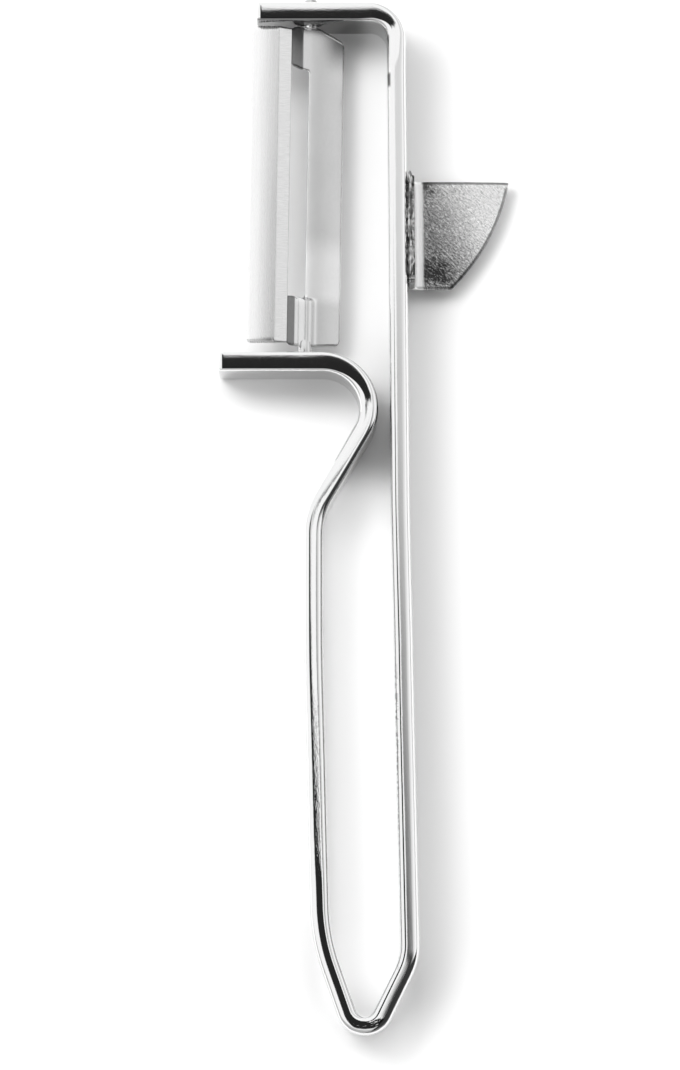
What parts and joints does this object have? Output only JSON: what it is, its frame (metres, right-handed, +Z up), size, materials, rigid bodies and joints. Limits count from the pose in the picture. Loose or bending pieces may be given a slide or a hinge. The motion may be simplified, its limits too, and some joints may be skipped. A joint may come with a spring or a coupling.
{
  "type": "vegetable peeler",
  "caption": "Steel swivel peeler: a blade turning on pivots in a fork of one bent strip that closes to a loop handle, with an eye gouge welded to its side.",
  "frame": {"origin": "under the middle of the whole object's box, on the surface it lies on", "axes": "+Y along the tool from the handle's nose to the blade's head, +Z up out of the side it lies on, +X towards the side with the eye gouge"},
  "size_m": [0.0452, 0.1616, 0.009],
  "materials": {
    "polished_strip": "polished plated steel strip",
    "blade_steel": "brushed along the blade, ground across at the edge",
    "plated_sheet": "plated over an uneven, grainy sheet",
    "weld_metal": "rough rippled weld under plating"
  },
  "bodies": {
    "frame": {"handle_frame": "polished_strip", "eye_gouge": "plated_sheet", "weld_bead": "weld_metal"},
    "blade": {"swivel_blade": "blade_steel"}
  },
  "joints": [
    {"name": "blade_swivel", "type": "hinge", "parent": "frame", "child": "blade", "pos_m": [-0.00835, 0.07839, 0.0045], "axis": [-0.0153, -0.9999, 0], "continuous": true}
  ]
}
